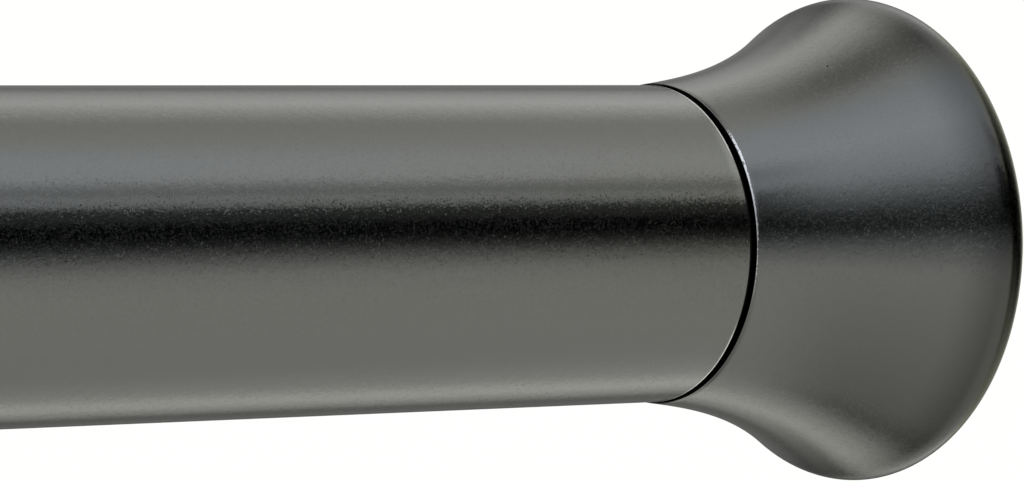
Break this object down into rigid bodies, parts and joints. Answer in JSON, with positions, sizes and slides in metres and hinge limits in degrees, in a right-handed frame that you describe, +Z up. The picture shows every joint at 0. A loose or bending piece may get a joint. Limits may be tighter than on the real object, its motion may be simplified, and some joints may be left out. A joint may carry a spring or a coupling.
{
  "type": "extendable shower curtain rod",
  "caption": "Extendable shower curtain rod: two telescoping tubes with a twist lock and a tension spring inside, and flared end caps with rubber wall pads.",
  "frame": {"origin": "centre of the rubber pad's wall face at the end with the larger tube", "axes": "+X out of that face, into the wall, so the rod runs along -X; +Z up"},
  "size_m": [1.092, 0.0396, 0.0396],
  "materials": {
    "satin_tube": "satin gunmetal powder coat",
    "satin_cap": "satin gunmetal powder coat",
    "collar_plastic": "fine moulded texture",
    "pad_rubber": "matt moulded rubber",
    "plug_plastic": "matt black",
    "lock_plastic": "natural nylon",
    "plated_steel": "bright zinc plate",
    "spring_steel": "oiled spring wire"
  },
  "bodies": {
    "fixed_end": {"end_cap_outer": "satin_cap", "wall_pad_outer": "pad_rubber"},
    "outer_tube": {"outer_tube": "satin_tube", "mouth_collar": "collar_plastic", "tube_plug_outer": "plug_plastic", "swivel_screw_outer": "plated_steel", "screw_washer_outer": "plated_steel"},
    "lock_sleeve": {"lock_sleeve": "lock_plastic"},
    "wedge_nut": {"wedge_nut": "lock_plastic"},
    "spindle": {"spindle": "plated_steel", "thrust_washer": "plated_steel", "stop_nut": "plated_steel", "spring_follower": "lock_plastic", "follower_nut": "plated_steel"},
    "inner_tube": {"inner_tube": "satin_tube", "guide_bush": "lock_plastic", "tension_spring": "spring_steel", "spring_stop": "plug_plastic", "tube_plug_inner": "plug_plastic", "swivel_screw_inner": "plated_steel", "screw_washer_inner": "plated_steel"},
    "moving_end": {"end_cap_inner": "satin_cap", "wall_pad_inner": "pad_rubber"}
  },
  "joints": [
    {"name": "outer_swivel", "type": "hinge", "parent": "fixed_end", "child": "outer_tube", "pos_m": [-0.0246, 0, 0], "axis": [1, 0, 0], "continuous": true},
    {"name": "telescope", "type": "slide", "parent": "outer_tube", "child": "lock_sleeve", "axis": [-1, 0, 0], "range_m": [0, 0.813]},
    {"name": "twist_lock", "type": "hinge", "parent": "lock_sleeve", "child": "spindle", "pos_m": [-0.1, 0, 0], "axis": [1, 0, 0], "range_deg": [0, 540]},
    {"name": "wedge_travel", "type": "slide", "parent": "lock_sleeve", "child": "wedge_nut", "axis": [-1, 0, 0], "range_m": [0, 0.00225]},
    {"name": "spring_travel", "type": "slide", "parent": "spindle", "child": "inner_tube", "axis": [1, 0, 0], "range_m": [0, 0.025], "stiffness_N_per_m": 6400, "springref_m": -0.008, "deforming": ["tension_spring"]},
    {"name": "inner_swivel", "type": "hinge", "parent": "inner_tube", "child": "moving_end", "pos_m": [-1.0674, 0, 0], "axis": [1, 0, 0], "continuous": true}
  ],
  "couplings": [
    {"joint": "wedge_travel", "follows": "twist_lock", "m_per_rad": 0.00023873}
  ]
}
